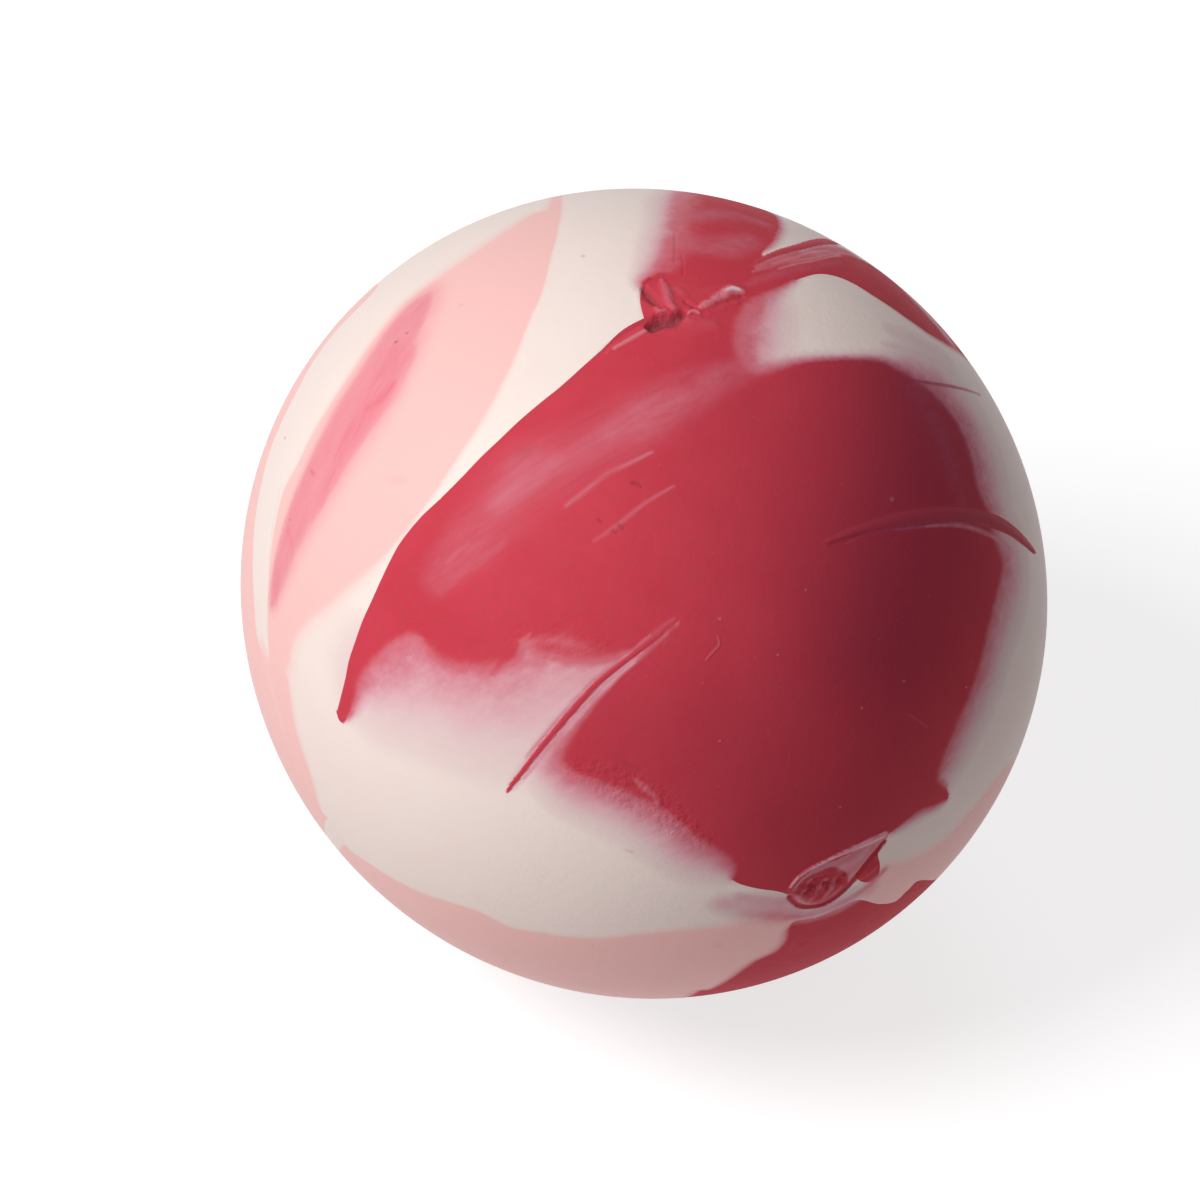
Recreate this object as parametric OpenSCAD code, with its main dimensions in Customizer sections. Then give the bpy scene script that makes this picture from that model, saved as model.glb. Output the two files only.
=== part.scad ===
// Bouncy ball of marbled rubber.
// Lumps of cream, pale pink, rose and crimson rubber are pressed together in a hot two-part mould,
// where they flow over each other and knit into one solid ball. Each coloured portion is a solid
// of its own here, seated in the portions around it as a leaf of rubber with a rounded underside.
// The ball lies with the scar of its mould gate straight up, and its centre is the origin.

/* [Ball] */
// Diameter of the moulded ball
ball_d = 45; // [36:1:60]

/* [Depth of each rubber below the surface] */
// Broad crimson sheets
crimson_depth = 5; // [3.5:0.5:8]
// Crimson streams that run over the rim
stream_depth = 3.6; // [2:0.2:6]
// Pale pink portions
pink_depth = 3; // [2:0.2:5]
// Rose vein
vein_depth = 1.6; // [1:0.2:2.6]
// Thin folds and streaks
fold_depth = 0.9; // [0.5:0.1:1.6]

/* [Folds and streaks] */
// Width of the thin wisp at the left end of the fold line
wisp_w = 0.42; // [0.3:0.02:0.7]
// Width of the ribbon at the right end of the fold line
ribbon_w = 0.8; // [0.5:0.05:1.2]
// Width of the streak above the band
streak_w = 0.75; // [0.4:0.05:1.2]
// Height of a fold above the ball's surface
fold_rise = 0.12; // [0.05:0.01:0.25]

/* [Gate scar] */
// Depth of the gate's plug of rubber
plug_depth = 2.4; // [1.6:0.2:4]
// Height of the torn stub above the surface
stub_rise = 0.3; // [0.1:0.05:0.6]
// Diameter of the hollows torn in the stub
hollow_d = 1.3; // [0.8:0.1:1.8]
// Diameter of the ridges left standing on it
ridge_d = 0.7; // [0.4:0.05:1]
// Width of the pale tongue beside the stub
tongue_w = 0.55; // [0.3:0.05:0.9]

/* [Almond knot] */
// Depth of the knot
knot_depth = 2; // [1.4:0.2:3]
// Height of the lips above the surface
lip_rise = 0.18; // [0.05:0.01:0.4]
// How far the knot's middle lies below the surface
eye_sink = 0.2; // [0.1:0.05:0.5]
// Diameter of the wrinkles across the knot's middle
wrinkle_d = 0.4; // [0.2:0.05:0.6]

/* [Hidden] */

cream = "#ece0d6";
pink = "#f4c4c0";
rose = "#e58f9b";
lilac = "#d9b9c4";
crimson = "#bf4052";
deep_crimson = "#98303f";

ball_r = ball_d / 2;
// Steps round the ball and round a lump, and between two places of an outline
round_steps = 180;
lump_steps = 32;
span_steps = 3;
// Lumps in a row, and the size of the smaller ones as a share of the larger
lump_count = 3;
small_lump_share = 0.8;
// The wedges that cut the leaves out reach this far past the ball, as a share of its radius
reach_share = 1.1;
// A leaf's underside leans by this share of its depth, so that it thins toward its feathered edge
lean_share = 0.55;

// The marbled face is the side of the ball with the broad crimson sheets. Seen square on, it looks
// out and up at this angle, and the gate scar lies this far clockwise of the top.
face_elevation = 45;
face_turn = 7.2;
face_out = [0, -cos(face_elevation), sin(face_elevation)];
upright = [0, sin(face_elevation), cos(face_elevation)];
face_right = [cos(face_turn), 0, 0] + sin(face_turn) * upright;
face_up = [-sin(face_turn), 0, 0] + cos(face_turn) * upright;

// Outlines, as places on the marbled face seen square on: [across, up] in shares of the ball's
// radius. A place with a third value of -1 is behind the rim, on the far side.
swirl_shares = [
    [0.08, 0.73], [-0.01, 0.68], [-0.11, 0.6], [-0.21, 0.51], [-0.31, 0.43], [-0.41, 0.335],
    [-0.505, 0.233], [-0.6, 0.13], [-0.655, 0.03], [-0.7, -0.065], [-0.73, -0.165],
    [-0.75, -0.26], [-0.752, -0.315], [-0.728, -0.3], [-0.7, -0.215], [-0.65, -0.16],
    [-0.58, -0.125], [-0.48, -0.175], [-0.36, -0.2], [-0.23, -0.185], [-0.11, -0.15],
    [0.015, -0.125], [0.14, -0.022], [0.287, 0.064], [0.44, 0.129], [0.63, 0.173],
    [0.83, 0.173], [0.92, 0.15], [0.905, 0.23], [0.88, 0.335], [0.84, 0.42], [0.78, 0.49],
    [0.69, 0.555], [0.585, 0.585], [0.48, 0.59], [0.385, 0.584], [0.29, 0.56],
    [0.24, 0.61], [0.235, 0.68], [0.17, 0.73]
];
lobe_shares = [
    [0.0, -0.165], [0.09, -0.02], [0.25, 0.09], [0.44, 0.165], [0.63, 0.21], [0.8, 0.205],
    [0.885, 0.12], [0.9, 0.06], [0.865, -0.04], [0.827, -0.176], [0.777, -0.312],
    [0.733, -0.42], [0.728, -0.46], [0.75, -0.5], [0.71, -0.53], [0.634, -0.574],
    [0.56, -0.63], [0.47, -0.7], [0.36, -0.745], [0.26, -0.725], [0.218, -0.7],
    [0.18, -0.63], [0.114, -0.564], [0.04, -0.515], [-0.06, -0.473], [-0.16, -0.45],
    [-0.22, -0.42], [-0.178, -0.366], [-0.109, -0.267], [-0.054, -0.21]
];
cap_shares = [
    [-0.01, 0.765], [0.01, 0.827], [0.03, 0.88], [0.045, 0.95], [0.05, 0.99],
    [0.04, 0.93, -1], [-0.01, 0.82, -1], [-0.03, 0.68, -1], [0.02, 0.54, -1],
    [0.12, 0.46, -1], [0.2, 0.52, -1], [0.28, 0.66, -1], [0.35, 0.8, -1], [0.34, 0.92, -1],
    [0.32, 0.94], [0.333, 0.89], [0.3, 0.85], [0.24, 0.8], [0.2, 0.72], [0.08, 0.7]
];
band_shares = [
    [0.21, 0.775], [0.287, 0.785], [0.386, 0.817], [0.485, 0.822], [0.55, 0.815],
    [0.64, 0.75, -1], [0.74, 0.6, -1], [0.8, 0.5, -1], [0.83, 0.51, -1],
    [0.76, 0.63], [0.7, 0.665], [0.63, 0.71], [0.56, 0.757], [0.485, 0.782],
    [0.386, 0.777], [0.3, 0.748], [0.245, 0.738]
];
crescent_shares = [
    [0.36, -0.82], [0.416, -0.804], [0.485, -0.777], [0.54, -0.76], [0.6, -0.77],
    [0.66, -0.74], [0.71, -0.69], [0.73, -0.65, -1], [0.67, -0.6, -1], [0.52, -0.6, -1],
    [0.34, -0.7, -1], [0.17, -0.84, -1], [0.06, -0.95, -1], [0.12, -0.985], [0.17, -0.965],
    [0.225, -0.938], [0.28, -0.905], [0.33, -0.89], [0.35, -0.86]
];
panel_shares = [
    [-0.28, 0.94], [-0.356, 0.889], [-0.455, 0.822], [-0.554, 0.74], [-0.666, 0.616],
    [-0.765, 0.468], [-0.851, 0.307], [-0.906, 0.183], [-0.931, 0.035], [-0.936, -0.1],
    [-0.91, -0.14], [-0.87, -0.13], [-0.827, -0.082], [-0.765, -0.032], [-0.7, 0.035],
    [-0.63, 0.06], [-0.53, 0.17], [-0.49, 0.27], [-0.45, 0.356], [-0.406, 0.418],
    [-0.361, 0.493], [-0.319, 0.579], [-0.282, 0.678], [-0.25, 0.752], [-0.225, 0.851],
    [-0.205, 0.95], [-0.18, 0.95, -1], [-0.23, 0.94, -1]
];
vein_shares = [
    [-0.53, 0.765], [-0.57, 0.735], [-0.675, 0.62], [-0.775, 0.47], [-0.86, 0.307],
    [-0.914, 0.183], [-0.938, 0.05], [-0.925, -0.03], [-0.9, 0.0], [-0.859, 0.072],
    [-0.827, 0.146], [-0.777, 0.22], [-0.728, 0.307], [-0.678, 0.381], [-0.624, 0.468],
    [-0.584, 0.554], [-0.56, 0.64], [-0.53, 0.72]
];
rim_shares = [
    [-0.7, 0.68], [-0.78, 0.59], [-0.85, 0.48], [-0.915, 0.33], [-0.945, 0.2],
    [-0.958, 0.08], [-0.963, -0.07], [-0.945, -0.15], [-0.876, -0.165], [-0.871, -0.24],
    [-0.851, -0.36], [-0.822, -0.436], [-0.797, -0.51], [-0.772, -0.58], [-0.76, -0.62],
    [-0.72, -0.6, -1], [-0.8, -0.35, -1], [-0.84, -0.05, -1], [-0.82, 0.25, -1],
    [-0.74, 0.48, -1], [-0.66, 0.66, -1], [-0.69, 0.7, -1]
];
keel_shares = [
    [-0.725, -0.65], [-0.64, -0.69], [-0.53, -0.74], [-0.455, -0.77], [-0.356, -0.8],
    [-0.257, -0.834], [-0.16, -0.852], [-0.01, -0.842], [0.19, -0.822], [0.3, -0.83],
    [0.4, -0.86], [0.38, -0.88, -1], [0.2, -0.9, -1], [-0.1, -0.86, -1], [-0.36, -0.8, -1],
    [-0.58, -0.7, -1], [-0.68, -0.66, -1]
];
flank_shares = [
    [0.9, -0.42], [0.844, -0.498], [0.795, -0.554], [0.735, -0.615], [0.66, -0.655],
    [0.59, -0.66], [0.56, -0.71], [0.55, -0.78], [0.65, -0.76], [0.71, -0.69, -1],
    [0.8, -0.56, -1], [0.87, -0.46, -1], [0.9, -0.41, -1]
];
gate_shares = [
    [-0.01, 0.728], [0.01, 0.762], [0.06, 0.777], [0.139, 0.757], [0.208, 0.767],
    [0.245, 0.748], [0.233, 0.723], [0.183, 0.698], [0.168, 0.653], [0.114, 0.636],
    [0.052, 0.636], [0.012, 0.653], [0.0, 0.69]
];
knot_shares = [
    [0.354, -0.74], [0.365, -0.71], [0.399, -0.683], [0.473, -0.651], [0.54, -0.619],
    [0.6, -0.59], [0.554, -0.658], [0.51, -0.72], [0.448, -0.765], [0.386, -0.772]
];
eye_shares = [
    [0.379, -0.738], [0.406, -0.702], [0.46, -0.686], [0.497, -0.696], [0.49, -0.722],
    [0.45, -0.748], [0.406, -0.758]
];
bead_shares = [
    [0.528, -0.69], [0.54, -0.655], [0.568, -0.628], [0.578, -0.636], [0.562, -0.672],
    [0.54, -0.7]
];

// Middle lines of the thin folds and streaks, as places of the same kind
wisp_shares = [
    [-0.336, -0.485], [-0.28, -0.404], [-0.208, -0.312], [-0.109, -0.21], [-0.022, -0.141],
    [0.045, -0.084]
];
ribbon_shares = [
    [0.44, 0.134], [0.535, 0.158], [0.634, 0.188], [0.733, 0.196], [0.832, 0.188],
    [0.9, 0.16], [0.96, 0.11]
];
streak_shares = [
    [0.27, 0.81], [0.337, 0.847], [0.4, 0.866], [0.46, 0.872], [0.53, 0.83, -1], [0.6, 0.76, -1]
];
tongue_shares = [[-0.09, 0.606], [-0.04, 0.636], [0.01, 0.66], [0.04, 0.675]];

// Places of the marks torn in the gate scar, each from one place to another
hollow_shares = [
    [[0.005, 0.735], [0.025, 0.74]],
    [[0.035, 0.66], [0.1, 0.67]]
];
ridge_shares = [
    [[0.06, 0.77], [0.08, 0.705]],
    [[0.18, 0.745], [0.235, 0.748]],
    [[0.125, 0.7], [0.16, 0.715]]
];
wrinkle_shares = [
    [[0.395, -0.735], [0.475, -0.7]],
    [[0.42, -0.745], [0.48, -0.715]]
];

// Sides to which the undersides of the leaves lean, where their edges are feathered
swirl_thin_shares = [-0.6, -0.6];
lobe_thin_shares = [-0.3, -0.9];
panel_thin_shares = [-0.2, -0.8];
level_shares = [0, 0];

// Place of the upper pole of every sphere
pole_shares = [0.05, 0.3];

function unit(v) = v / norm(v);

// Direction from the ball's centre to a place on the marbled face
function toward(place) =
    let (side = len(place) > 2 ? place[2] : 1)
    let (out = side * sqrt(max(0, 1 - place[0] * place[0] - place[1] * place[1])))
    unit(place[0] * face_right + place[1] * face_up + out * face_out);

// Smooth curve through b and c, where a and d are the places before and after them
function curve(a, b, c, d, t) =
    unit(b + t * (c - a) / 2 + t * t * (a - 2.5 * b + 2 * c - d / 2)
        + t * t * t * (1.5 * b - 1.5 * c + (d - a) / 2));

// Closed ring of directions through the places of an outline
function ring(places) =
    let (n = len(places), at = [for (place = places) toward(place)])
    [
        for (i = [0:n - 1], k = [0:span_steps - 1])
            curve(at[(i + n - 1) % n], at[i], at[(i + 1) % n], at[(i + 2) % n], k / span_steps)
    ];

// Open line of directions through the places of a fold's middle line
function line(places) =
    let (n = len(places), at = [for (place = places) toward(place)])
    [
        for (i = [0:n - 2], k = [0:span_steps - 1])
            curve(at[max(i - 1, 0)], at[i], at[i + 1], at[min(i + 2, n - 1)], k / span_steps),
        at[n - 1]
    ];

// Closed ring of directions round a fold of width w that tapers to a point at both ends
function strand(places, w) =
    let (mid = line(places), n = len(mid))
    let (side = [
        for (i = [0:n - 1])
            unit(cross(mid[i], mid[min(i + 1, n - 1)] - mid[max(i - 1, 0)]))
                * sin(180 * i / (n - 1)) * w / ball_d
    ])
    [
        for (i = [0:n - 1]) mid[i] + side[i],
        for (i = [n - 2:-1:1]) mid[i] - side[i]
    ];

// Radial wedge from the ball's centre out through a ring of directions, past the surface
module wedge(ring) {
    mid = unit([for (d = ring) 1] * ring);
    across = unit(cross(mid, face_up));
    along = cross(across, mid);
    reach = reach_share * ball_r;
    multmatrix([
        [across.x, along.x, -mid.x, reach * mid.x],
        [across.y, along.y, -mid.y, reach * mid.y],
        [across.z, along.z, -mid.z, reach * mid.z],
        [0, 0, 0, 1]
    ])
        linear_extrude(height = reach, scale = 0)
            polygon([for (d = ring) [d * across, d * along] * reach / (d * mid)]);
}

// Sphere whose poles lie away from every outline, the upper one in the middle of the swirl
module ball(r) {
    pole = toward(pole_shares);
    rotate([0, acos(pole.z), atan2(pole.y, pole.x)])
        sphere(r = r, $fn = round_steps);
}

// Room that a leaf takes in the ball: its wedge down to a round underside at this depth, which
// leans so that the leaf is thinnest toward the place thin
module room(ring, depth, thin = level_shares) {
    lean = thin == level_shares ? 0 : lean_share * depth;
    difference() {
        wedge(ring);
        translate(lean * toward(thin))
            ball(ball_r - depth);
    }
}

// The ball's own round, raised or sunk by rise
module round_off(rise = 0) {
    intersection() {
        children();
        ball(ball_r + rise);
    }
}

// Row of overlapping lumps from one place on the ball to another, with their middles at this
// height over the surface, the way torn rubber curls; every second lump is smaller
module lumps(ends, d, height) {
    for (i = [0:lump_count - 1]) {
        place = ends[0] + (ends[1] - ends[0]) * i / (lump_count - 1);
        translate(toward(place) * (ball_r + height))
            sphere(d = i % 2 == 0 ? d : d * small_lump_share, $fn = lump_steps);
    }
}

// Way that a leaf makes for the leaf that lies over it. Where the one over it is as deep or deeper,
// that one's whole wedge is cut away, so that no skin is left between equal undersides.
module way(ring, depth_over, depth_under) {
    if (depth_over < depth_under)
        room(ring, depth_over);
    else
        wedge(ring);
}

// The rooms of the leaves, kept apart because each leaf makes way for those that lie over it
module swirl_room() {
    room(ring(swirl_shares), crimson_depth, swirl_thin_shares);
}

module lobe_room() {
    room(ring(lobe_shares), crimson_depth, lobe_thin_shares);
}

module cap_room() {
    room(ring(cap_shares), stream_depth);
}

module band_room() {
    room(ring(band_shares), stream_depth);
}

module crescent_room() {
    room(ring(crescent_shares), stream_depth);
}

module panel_room() {
    room(ring(panel_shares), pink_depth, panel_thin_shares);
}

module vein_room() {
    room(ring(vein_shares), vein_depth);
}

module rim_room() {
    room(ring(rim_shares), pink_depth);
}

module keel_room() {
    room(ring(keel_shares), pink_depth);
}

module flank_room() {
    room(ring(flank_shares), pink_depth);
}

module wisp_room() {
    room(strand(wisp_shares, wisp_w), fold_depth);
}

module ribbon_room() {
    room(strand(ribbon_shares, ribbon_w), fold_depth);
}

module streak_room() {
    room(strand(streak_shares, streak_w), fold_depth);
}

module plug_room() {
    room(ring(gate_shares), plug_depth);
}

module tongue_room() {
    room(strand(tongue_shares, tongue_w), fold_depth);
}

module knot_room() {
    room(ring(knot_shares), knot_depth);
}

module eye_room() {
    room(ring(eye_shares), knot_depth);
}

module bead_room() {
    room(ring(bead_shares), knot_depth);
}

// Cream rubber, the bulk of the ball, with a pocket for every leaf
module cream_body() {
    color(cream)
        difference() {
            ball(ball_r);
            swirl_room();
            lobe_room();
            cap_room();
            band_room();
            crescent_room();
            panel_room();
            vein_room();
            rim_room();
            keel_room();
            flank_room();
            wisp_room();
            ribbon_room();
            streak_room();
            plug_room();
            tongue_room();
            knot_room();
        }
}

// Upper crimson sheet, from the gate scar down to the hooked tail
module crimson_swirl() {
    color(crimson)
        difference() {
            round_off() swirl_room();
            plug_room();
            tongue_room();
            wisp_room();
            ribbon_room();
        }
}

// Lower crimson sheet, from the fold line down to the knot
module crimson_lobe() {
    color(crimson)
        difference() {
            round_off() lobe_room();
            swirl_room();
            wisp_room();
            ribbon_room();
            knot_room();
        }
}

// Left end of the fold line, a filament that stands out of the cream
module crimson_wisp() {
    color(deep_crimson)
        round_off(fold_rise) wisp_room();
}

// Right end of the fold line
module crimson_ribbon() {
    color(deep_crimson)
        round_off(fold_rise) ribbon_room();
}

// Stream from the gate scar over the top
module crimson_cap() {
    color(crimson)
        difference() {
            round_off() cap_room();
            way(ring(gate_shares), plug_depth, stream_depth);
            swirl_room();
            streak_room();
        }
}

// Band from the gate scar to the upper right rim
module crimson_band() {
    color(crimson)
        difference() {
            round_off() band_room();
            way(ring(gate_shares), plug_depth, stream_depth);
            swirl_room();
            wedge(ring(cap_shares));
            streak_room();
        }
}

// Thin streak above that band
module crimson_streak() {
    color(deep_crimson)
        round_off(fold_rise) streak_room();
}

// Stream under the ball
module crimson_crescent() {
    color(crimson)
        round_off() crescent_room();
}

// Broad pale pink portion at the upper left
module pink_panel() {
    color(pink)
        difference() {
            round_off() panel_room();
            vein_room();
            swirl_room();
        }
}

// Rose vein along the panel's outer edge
module rose_vein() {
    color(rose)
        round_off() vein_room();
}

// Pale pink rubber behind the left rim, whose edge shows as a thin line
module pink_rim() {
    color(pink)
        difference() {
            round_off() rim_room();
            panel_room();
            way(ring(vein_shares), vein_depth, pink_depth);
        }
}

// Pale pink rubber along the underside
module pink_keel() {
    color(pink)
        difference() {
            round_off() keel_room();
            wedge(ring(rim_shares));
            way(ring(crescent_shares), stream_depth, pink_depth);
        }
}

// Pale pink rubber at the lower right, between the knot and the rim
module pink_flank() {
    color(pink)
        difference() {
            round_off() flank_room();
            way(ring(crescent_shares), stream_depth, pink_depth);
            way(ring(knot_shares), knot_depth, pink_depth);
            lobe_room();
        }
}

// Torn stub of crimson rubber where the ball was cut from the mould's gate
module gate_scar() {
    color(deep_crimson) {
        difference() {
            round_off(stub_rise) plug_room();
            for (ends = hollow_shares)
                lumps(ends, hollow_d, stub_rise);
        }
        intersection() {
            plug_room();
            for (ends = ridge_shares)
                lumps(ends, ridge_d, stub_rise);
        }
    }
}

// Pale tongue of rubber drawn out beside the stub
module gate_tongue() {
    color(lilac)
        round_off(fold_rise)
            difference() {
                tongue_room();
                plug_room();
            }
}

// Pale lips of the almond-shaped knot, where three streams meet
module knot_lip() {
    color(lilac)
        difference() {
            round_off(lip_rise) knot_room();
            wedge(ring(eye_shares));
            wedge(ring(bead_shares));
        }
}

// Rough middle of the knot, sunk between its lips and crossed by wrinkles
module knot_eye() {
    color(rose) {
        round_off(-eye_sink)
            difference() {
                eye_room();
                wedge(ring(bead_shares));
            }
        intersection() {
            eye_room();
            for (ends = wrinkle_shares)
                lumps(ends, wrinkle_d, -eye_sink);
        }
    }
}

// Crimson bead pressed into the knot's lower lip
module knot_bead() {
    color(crimson)
        round_off(lip_rise) bead_room();
}

cream_body();
crimson_swirl();
crimson_lobe();
crimson_wisp();
crimson_ribbon();
crimson_cap();
crimson_band();
crimson_streak();
crimson_crescent();
pink_panel();
rose_vein();
pink_rim();
pink_keel();
pink_flank();
gate_scar();
gate_tongue();
knot_lip();
knot_eye();
knot_bead();
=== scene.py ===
# Looks of a solid bouncy ball, 45 mm across, pressed from marbled rubber.
# Each portion of coloured rubber is a closed piece of its own, seated in the portions around it,
# and one mould has pressed them all to the same round skin. Places on the ball are read off the
# photograph, in pixels of its 1200 by 1200, and carried along the camera's rays onto the ball.
# Lengths are metres.

import math

import bmesh
import bpy
import numpy as np
from mathutils import Matrix, Vector, noise


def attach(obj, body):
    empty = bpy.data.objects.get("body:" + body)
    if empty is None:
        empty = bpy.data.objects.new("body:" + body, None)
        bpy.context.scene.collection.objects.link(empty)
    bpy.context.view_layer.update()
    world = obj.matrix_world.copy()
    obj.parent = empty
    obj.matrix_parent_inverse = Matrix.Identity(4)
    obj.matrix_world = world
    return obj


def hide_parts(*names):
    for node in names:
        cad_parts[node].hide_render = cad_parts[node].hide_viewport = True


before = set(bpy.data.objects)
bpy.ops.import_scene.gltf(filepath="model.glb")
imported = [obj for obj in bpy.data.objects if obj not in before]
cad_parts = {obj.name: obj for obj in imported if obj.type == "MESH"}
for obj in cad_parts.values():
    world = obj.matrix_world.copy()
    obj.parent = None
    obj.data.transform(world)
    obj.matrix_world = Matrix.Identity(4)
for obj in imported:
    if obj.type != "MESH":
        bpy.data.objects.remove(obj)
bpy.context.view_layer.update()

# The moulded skin
# Lumps of soft rubber are pressed in a hot two-part mould, so every colour ends in one common
# skin. It is a net of triangles here, all free at first, and each portion claims its own.

ball_r = 0.0225
# Triangles on the hidden side and on the photographed face, which ends a little past the limb
back_step, face_step, limb = 0.0008, 0.0004, -0.12
# An edge is halved while it is this many times as long as wanted, in this many rounds at most
too_long, most_rounds = 1.4, 8

# The marbled face is seen square on from above the front, and the gate scar is straight up
face_elevation, face_turn = math.radians(45), math.radians(7.2)
upright = np.array([0, math.sin(face_elevation), math.cos(face_elevation)])
sideways = np.array([1.0, 0, 0])
face_out = np.array([0, -math.cos(face_elevation), math.sin(face_elevation)])
face_right = math.cos(face_turn) * sideways + math.sin(face_turn) * upright
face_up = math.cos(face_turn) * upright - math.sin(face_turn) * sideways

# The ball in the photograph: its middle, its radius and the distance that it is seen from
picture_px = 1200
middle_x, middle_y, radius_px = 643.9, 593.6, 404.3
px = 1 / radius_px
eye_distance = 1.2

# The moulding shrank a little out of round: longest along this slant of the face, down to the right
long_way, stretch = math.radians(50), 0.012
long_side = math.cos(long_way) * face_right - math.sin(long_way) * face_up
short_side = math.sin(long_way) * face_right + math.cos(long_way) * face_up


def toward(x, y, behind=False):
    """Direction from the ball's centre to the place seen at x, y, or to the place behind it."""
    across, up = (x - middle_x) * px, (middle_y - y) * px
    c, s = math.cos(long_way), math.sin(long_way)
    along, beside = (c * across - s * up) / (1 + stretch), (s * across + c * up) / (1 - stretch)
    across, up = c * along + s * beside, c * beside - s * along
    share = max(math.hypot(across, up), 1e-9)
    ray = math.atan(min(share, 1) * math.tan(math.asin(ball_r / eye_distance)))
    bend = math.asin(min(1, eye_distance / ball_r * math.sin(ray)))
    lean = math.pi - bend - ray if behind else bend - ray
    side = (across * face_right + up * face_up) / share
    return math.sin(lean) * side + math.cos(lean) * face_out


def unit(rows):
    return rows / np.linalg.norm(rows, axis=-1, keepdims=True)


class Skin:
    """Corners as directions from the ball's centre, triangles, and the portion that has each."""

    def __init__(self):
        start = bmesh.new()
        bmesh.ops.create_icosphere(start, subdivisions=6, radius=1)
        self.at = unit(np.array([v.co[:] for v in start.verts]))
        self.tris = np.array([[v.index for v in f.verts] for f in start.faces])
        self.claim = np.full(len(self.tris), -1)
        start.free()

    def edges(self):
        """Every edge once, the edges of each triangle, and whether a claimed triangle has it."""
        ends = np.sort(self.tris[:, [[0, 1], [1, 2], [2, 0]]], axis=2).reshape(-1, 2)
        key, sides = np.unique(ends[:, 0] * len(self.at) + ends[:, 1], return_inverse=True)
        sides = sides.reshape(-1, 3)
        held = np.zeros(len(key), bool)
        held[sides[self.claim >= 0].ravel()] = True
        return np.stack([key // len(self.at), key % len(self.at)], axis=1), sides, held

    def split(self, sides, cut, points):
        """Puts a new corner on each edge marked in cut and divides the triangles beside it."""
        new = np.full(len(cut), -1)
        new[cut] = len(self.at) + np.arange(cut.sum())
        mid, corner = new[sides], self.tris
        count = (mid >= 0).sum(axis=1)
        made, claims = [corner[count == 0]], [self.claim[count == 0]]

        def put(rows, *corners):
            made.append(np.stack([c[rows] for c in corners], axis=1))
            claims.append(self.claim[rows])

        for k in range(3):
            a, b, c = [corner[:, (k + i) % 3] for i in range(3)]
            on_a, on_b, on_c = [mid[:, (k + i) % 3] for i in range(3)]
            one = (count == 1) & (on_a >= 0)
            put(one, a, on_a, c)
            put(one, on_a, b, c)
            two = (count == 2) & (on_a < 0)
            put(two, a, b, on_b)
            put(two, a, on_b, on_c)
            put(two, on_c, on_b, c)
            three = count == 3
            put(three, a, on_a, on_c)
            if k == 0:
                put(three, on_a, on_b, on_c)
        self.tris, self.claim = np.concatenate(made), np.concatenate(claims)
        self.at = np.concatenate([self.at, unit(points)])

    def refine(self, wanted):
        """Halves free edges until none is much longer than wanted at its middle."""
        for _ in range(most_rounds):
            ends, sides, held = self.edges()
            middle = self.at[ends].mean(axis=1)
            length = np.linalg.norm(self.at[ends[:, 0]] - self.at[ends[:, 1]], axis=1)
            cut = ~held
            cut[cut] = length[cut] * ball_r > too_long * wanted(unit(middle[cut]))
            if not cut.any():
                return
            self.split(sides, cut, middle[cut])


skin = Skin()
skin.refine(lambda at: np.where(at @ face_out > limb, face_step, back_step))

# The gate scar
# The soft rubber ran in through a gate here. The sprue was torn off by hand after moulding, and
# left a ragged stub of crimson rubber with hollows and curled ridges. Painted shade darkens the
# hollows, and painted highlights lie on the ridges and on a few pale blobs.

# Steps along an outline and along a mark
outline_step, mark_step = 0.00022, 0.0001
# How many pixels a colour runs out where an outline has no third number
plain_run = 1.5


def trace(places, closed=True, step=outline_step):
    """Smooth curve through places, in even steps: directions, and each one's third number."""
    way = [toward(*p[:2], behind=len(p) > 3) for p in places]
    wide = [p[2] if len(p) > 2 else plain_run for p in places]
    n, at, width = len(places), [], []
    for i in range(n if closed else n - 1):
        if closed:
            a, b, c, d = way[i - 1], way[i], way[(i + 1) % n], way[(i + 2) % n]
        else:
            a, b, c, d = way[max(i - 1, 0)], way[i], way[i + 1], way[min(i + 2, n - 1)]
        steps = max(1, round(np.linalg.norm(c - b) * ball_r / step))
        for t in np.arange(steps) / steps:
            bow = t * t * (a - 2.5 * b + 2 * c - d / 2) + t ** 3 * (1.5 * b - 1.5 * c + (d - a) / 2)
            at.append(b + t * (c - a) / 2 + bow)
            width.append((1 - t) * wide[i] + t * wide[(i + 1) % n])
    if not closed:
        at.append(way[-1])
        width.append(wide[-1])
    return unit(np.array(at)), np.array(width) * px


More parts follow.
